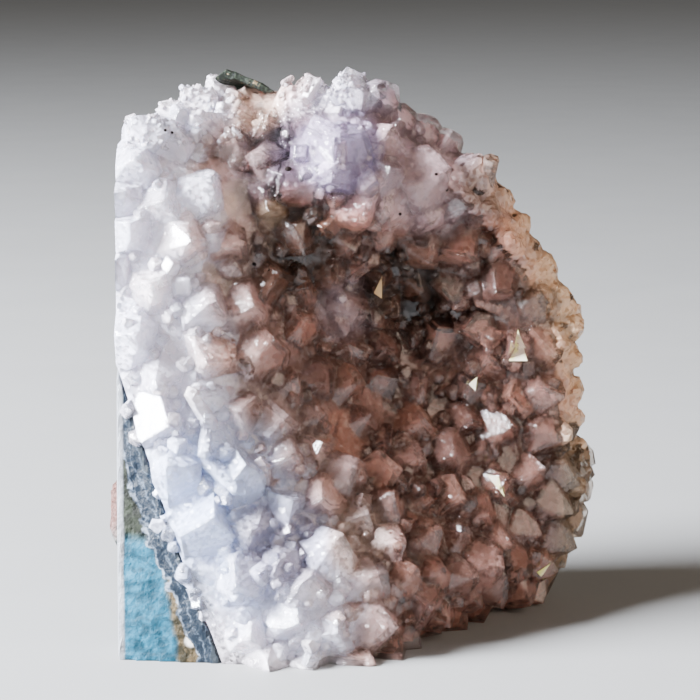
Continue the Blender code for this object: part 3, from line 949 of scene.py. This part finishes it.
def milky_finish():
    """Cloudy quartz that lets light in a little way."""
    finish = Finish("milky_quartz")
    druse = Druse(finish)
    groove = finish.kept("groove")
    colour = druse.varied(druse.colour(body_colour), 0.34)
    painted_shade = druse.colour(painted_shade_colour)
    patches = finish.noise(3.0, detail=5.0, roughness=0.6)
    # Painted shade: darker between the crystals by their occlusion, broken up by random patches
    colour = finish.blend((groove + (patches - 0.5) * 0.6).between(0.25, 0.72), colour, painted_shade)
    quartz = finish.surface(
        Base_Color=colour,
        Roughness=0.16,
        Subsurface_Weight=0.5,
        Subsurface_Radius=(1.0, 0.8, 0.8),
        Subsurface_Scale=1.6 * MM,
        Normal=glints(finish, 0.8, 1.0),
    )
    return finish.done(quartz)


def rock_finish():
    """Blue-green celadonite and olive basalt, with a banded slate skin next to the crystals."""
    finish = Finish("host_rock")
    x, y, z = finish.x, finish.y, finish.z
    patches = finish.noise(6.0, detail=6.0, roughness=0.6)
    veins = finish.noise(2.6, detail=5.0, distortion=1.2)
    grit = finish.noise(0.7, detail=5.0, roughness=0.7)
    wander = finish.noise(5.0, detail=4.0) - 0.5
    from_crust = finish.kept("from_crust") + wander * 6.5

    # Natural back
    teal = finish.blend(veins.between(0.36, 0.66), *ROCK["teal"])
    skin = finish.blend(patches.between(0.35, 0.65), *ROCK["skin"])
    skin = finish.blend(finish.noise(9.0, detail=4.0).between(0.58, 0.70), skin, teal)
    skin = finish.blend(finish.noise(4.0, detail=5.0).between(0.62, 0.72), skin, (0.20, 0.13, 0.07))

    # Lower left corner of the front, with a pale grain and a black one
    olive = finish.blend(veins.between(0.4, 0.6), *ROCK["olive"])
    green = finish.blend(veins.between(0.4, 0.6), *ROCK["green"])
    is_front = 1 - y.between(-15.0, -12.0)
    beside_teal = (x - wander * 3.0 + z * 0.16).between(-28.9, -27.9)
    corner = finish.blend(beside_teal, teal, olive)
    corner = finish.blend((z + wander * 3.0).between(18.0, 21.0), corner, green)
    corner = finish.blend(finish.near(-26.4, 3.6, 0.5, 0.8), corner, (0.50, 0.47, 0.41))
    corner = finish.blend(finish.near(-26.0, 8.8, 0.6, 1.2), corner, (0.01, 0.01, 0.01))
    colour = finish.blend(is_front, skin, corner)

    # Sawn left face
    sawn = finish.blend(patches.between(0.42, 0.60), *ROCK["sawn"])
    sawn = finish.blend(finish.noise(8.0, detail=5.0).between(0.54, 0.62), sawn, (0.010, 0.050, 0.066))
    sawn = finish.blend(finish.noise(2.2, detail=4.0).between(0.64, 0.68), sawn, (0.15, 0.15, 0.135))
    sawn = finish.blend(veins.between(0.62, 0.70), sawn, (0.04, 0.03, 0.018))
    is_sawn = 1 - (x + wander).between(-37.9, -37.3)
    colour = finish.blend(is_sawn, colour, sawn)

    # Banded skin next to the crystals, with a pale line and a dark seam
    lines = finish.add("ShaderNodeMath", {"operation": "PINGPONG"}, {0: from_crust, 1: 0.75})
    slate = finish.blend(lines.between(0.45, 0.75) * grit.between(0.4, 0.6), *ROCK["slate"])
    edge_line = from_crust.between(3.6, 3.9) * veins.between(0.4, 0.6)
    slate = finish.blend(edge_line, slate, (0.14, 0.165, 0.20))
    is_band = 1 - from_crust.between(4.0, 4.3)
    band_place = is_front + is_sawn
    colour = finish.blend(is_band * band_place, colour, slate)
    is_seam = 1 - from_crust.between(0.5, 1.0)
    colour = finish.blend(is_seam * band_place, colour, (0.02, 0.025, 0.03))

    # Pale edge between the front and the sawn face, partly the rock's colour and partly painted highlight
    is_edge = 1 - (x + wander * 0.5).between(-37.5, -37.0)
    colour = finish.blend(is_edge * is_front, colour, (0.17, 0.18, 0.195))

    # Swelling beyond the left edge, brown-pink above and greyish below
    granules = finish.blend(grit.between(0.35, 0.65), *ROCK["granules"])
    greyish = finish.blend(grit.between(0.35, 0.65), *ROCK["greyish"])
    granules = finish.blend((z + wander * 9.0).between(13.0, 17.0), greyish, granules)
    colour = finish.blend(1 - x.between(-39.0, -38.6), colour, granules)

    by_flake = finish.near(-18.0, 91.0, 6.5, 2.0) * y.between(6.0, 9.0)
    flake = finish.blend(grit.between(0.4, 0.6), *ROCK["by the flake"])
    colour = finish.blend(by_flake, colour, flake)
    rough = 0.78 - is_band * band_place * 0.35 - is_sawn * 0.35 - is_front * 0.2
    stone = finish.surface(
        Base_Color=colour, Roughness=rough, Specular_IOR_Level=ROCK_SHINE, Normal=finish.bump(grit, 0.25)
    )
    return finish.done(stone)


def flake_finish():
    """Green-black basalt with a few thin tan seams."""
    finish = Finish("flake_rock")
    grit = finish.noise(0.5, detail=5.0, roughness=0.7)
    colour = finish.blend(grit.between(0.4, 0.65), *ROCK["flake"])
    seams = finish.noise(1.6, detail=3.0, distortion=2.0).between(0.60, 0.68)
    colour = finish.blend(seams, colour, (0.16, 0.12, 0.07))
    stone = finish.surface(
        Base_Color=colour, Roughness=0.6, Specular_IOR_Level=ROCK_SHINE, Normal=finish.bump(grit, 0.12)
    )
    return finish.done(stone)


def speck_finish():
    finish = Finish("iron_oxide")
    colour = finish.blend(finish.noise(0.3), (0.002, 0.0015, 0.0015), (0.012, 0.007, 0.006))
    normal = finish.bump(finish.noise(0.2), 0.05)
    grain = finish.surface(Base_Color=colour, Roughness=0.7, Specular_IOR_Level=0.05, Normal=normal)
    return finish.done(grain)


def painted_glint_finish():
    """Painted glints: pale yellow colour that stands in for reflected light, with one facet of a darker
    tan.
    """
    finish = Finish("straw_quartz")
    share = finish.noise(2.5, detail=3.0).between(0.38, 0.62)
    colour = finish.blend(share, (0.86, 0.88, 0.28), (0.98, 0.90, 0.72))
    colour = finish.blend(finish.near(4.1, 56.6, 2.4, 1.0), colour, (0.50, 0.34, 0.18))
    normal = finish.bump(finish.noise(0.6), 0.03)
    return finish.done(finish.surface(Base_Color=colour, Roughness=0.16, IOR=QUARTZ_IOR, Normal=normal))


def dress(piece, material):
    piece.data.materials.clear()
    piece.data.materials.append(material)
    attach(piece, "root")


# Stage


def stage():
    deselect_all()
    bpy.ops.mesh.primitive_plane_add(size=FLOOR_WIDTH, location=(0, 0, 0))
    floor = bpy.context.object
    floor.name = "floor"
    finish = Finish("pale_floor")
    colour = finish.blend(finish.noise(30.0, detail=4.0), (0.20, 0.202, 0.20), (0.225, 0.226, 0.223))
    floor.data.materials.append(finish.done(finish.surface(Base_Color=colour, Roughness=0.6)))


def stand(name, data, place):
    """A lamp or a camera at a place, aimed at the geode."""
    holder = bpy.data.objects.new(name, data)
    holder.location = place
    aim = VIEW_TARGET - holder.location
    holder.rotation_euler = aim.to_track_quat("-Z", "Y").to_euler()
    bpy.context.scene.collection.objects.link(holder)
    return holder


def lights():
    for name, (place, size, power, colour) in LIGHTS.items():
        lamp = bpy.data.lights.new(name, "AREA")
        lamp.shape = "DISK"
        lamp.size = size
        lamp.energy = power
        lamp.color = colour
        stand(name, lamp, place)
    world = bpy.data.worlds.new("studio")
    world.use_nodes = True
    background = world.node_tree.nodes["Background"]
    background.inputs["Color"].default_value = WORLD_COLOUR
    background.inputs["Strength"].default_value = WORLD_STRENGTH
    bpy.context.scene.world = world


def camera():
    lens = bpy.data.cameras.new("camera")
    lens.lens = LENS
    lens.sensor_width = SENSOR_WIDTH
    bpy.context.scene.camera = stand("camera", lens, VIEW_FROM)


camera()
lights()
stage()
points = crystal_points()
lots = crystal_lots(points)
# Occlusion between the crystals, kept for the painted shade of the materials
occlusion_shade_depths = occlusion_for_shade(coordinates(points), vertex_normals(points), tree_of(points))
keep(points, "crystal", "FLOAT_VECTOR", "FACE", lots)
keep(points, "groove", "FLOAT", "POINT", occlusion_shade_depths)
milk = milky_quartz(points, lots)
rock = host_rock()
flake = rock_flake()
specks = iron_specks(points)
# Facets with painted glints
glint_facets = straw_facets(points)
dress(points, glassy_finish())
dress(milk, milky_finish())
dress(rock, rock_finish())
dress(flake, flake_finish())
dress(specks, speck_finish())
dress(glint_facets, painted_glint_finish())
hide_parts("crystal_crust")
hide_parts("rock_matrix")
